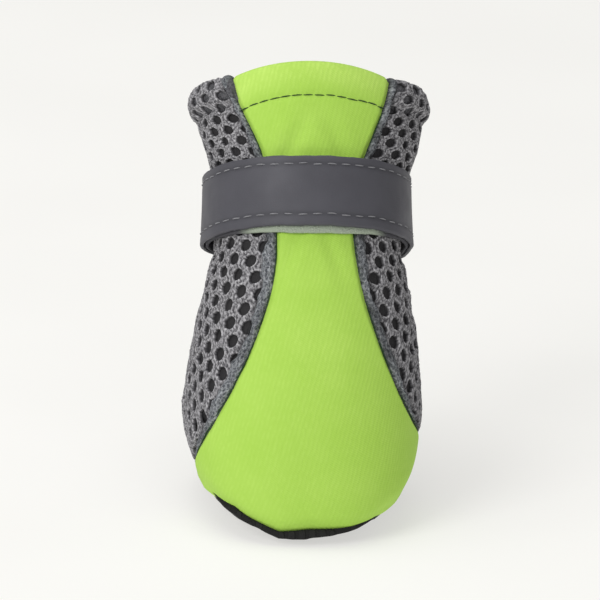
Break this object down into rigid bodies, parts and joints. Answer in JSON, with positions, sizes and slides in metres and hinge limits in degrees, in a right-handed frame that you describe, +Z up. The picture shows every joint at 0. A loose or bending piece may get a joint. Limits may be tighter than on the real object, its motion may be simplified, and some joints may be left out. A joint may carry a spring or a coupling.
{
  "type": "dog boot",
  "caption": "Soft dog boot with a stretch front panel, spacer-mesh sides, thin cupped grip sole and a reflective hook-and-loop ankle strap, open at the collar.",
  "frame": {"origin": "on the floor, at the middle of the flat underside of the outsole", "axes": "+Z up; the toe points along -Y and the collar leans back towards +Y; +X is the boot's left side as the dog wears it"},
  "size_m": [0.0508, 0.0853, 0.0927],
  "materials": {
    "upper": "grey spacer mesh",
    "front_panel": "matte yellow-green stretch knit",
    "outsole": "matte black grip cloth",
    "insole": "dark soft cloth",
    "strap": "satin grey reflective tape",
    "strap_backing": "pale loop tape",
    "strap_hook_tape": "dark hook tape"
  },
  "bodies": {
    "root": {"upper": "upper", "front_panel": "front_panel", "outsole": "outsole", "insole": "insole", "strap": "strap", "strap_backing": "strap_backing", "strap_hook_tape": "strap_hook_tape"}
  },
  "joints": []
}
